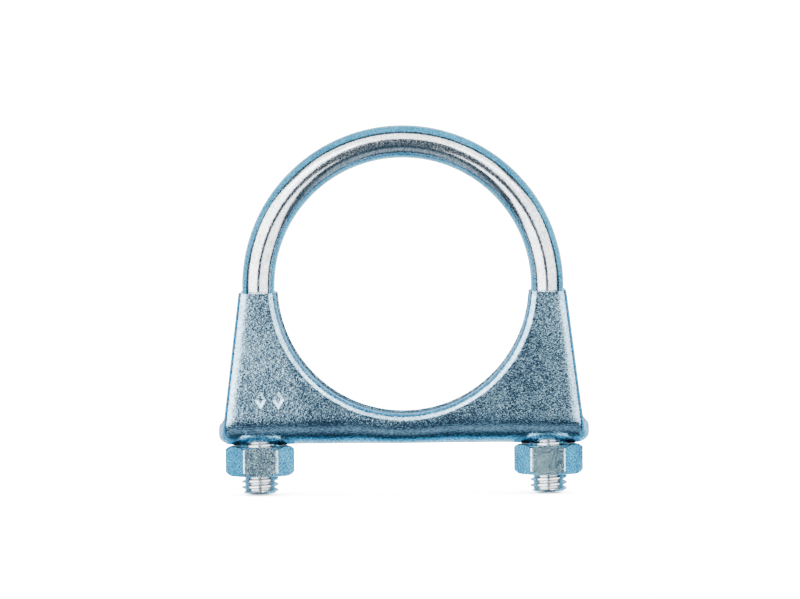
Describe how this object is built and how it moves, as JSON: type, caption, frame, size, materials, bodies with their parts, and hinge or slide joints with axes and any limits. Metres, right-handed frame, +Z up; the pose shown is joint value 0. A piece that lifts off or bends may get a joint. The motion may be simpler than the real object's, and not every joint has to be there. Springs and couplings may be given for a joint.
{
  "type": "u-bolt",
  "caption": "Threaded U-shaped rod with a pressed sheet saddle drawn up its legs by two hexagon nuts, for clamping a round pipe.",
  "frame": {"origin": "on the clamped pipe's axis, half way along the saddle's depth", "axes": "+Z up from the saddle to the closed end of the U, +Y along the pipe, +X across the clamp; the studs point to -Z"},
  "size_m": [0.0794, 0.016, 0.0787],
  "materials": {
    "rod_zinc": "bright zinc plated",
    "sheet_zinc": "satin zinc plated, fine grain",
    "nut_zinc": "satin zinc plated"
  },
  "bodies": {
    "u_bolt": {"u_bolt": "rod_zinc"},
    "saddle": {"saddle": "sheet_zinc"},
    "nut_left": {"nut_left": "nut_zinc"},
    "nut_right": {"nut_right": "nut_zinc"}
  },
  "joints": [
    {"name": "saddle_slide", "type": "slide", "parent": "u_bolt", "child": "saddle", "axis": [0, 0, 1], "range_m": [-0.00375, 0.015]},
    {"name": "nut_left_turn", "type": "hinge", "parent": "saddle", "child": "nut_left", "pos_m": [-0.03095, 0, -0.03725], "axis": [0, 0, 1], "range_deg": [-1085, 4325]},
    {"name": "nut_right_turn", "type": "hinge", "parent": "saddle", "child": "nut_right", "pos_m": [0.03095, 0, -0.03725], "axis": [0, 0, 1], "range_deg": [-1085, 4325]}
  ],
  "couplings": [
    {"joint": "nut_left_turn", "follows": "saddle_slide", "rad_per_m": 5026.5},
    {"joint": "nut_right_turn", "follows": "saddle_slide", "rad_per_m": 5026.5}
  ]
}
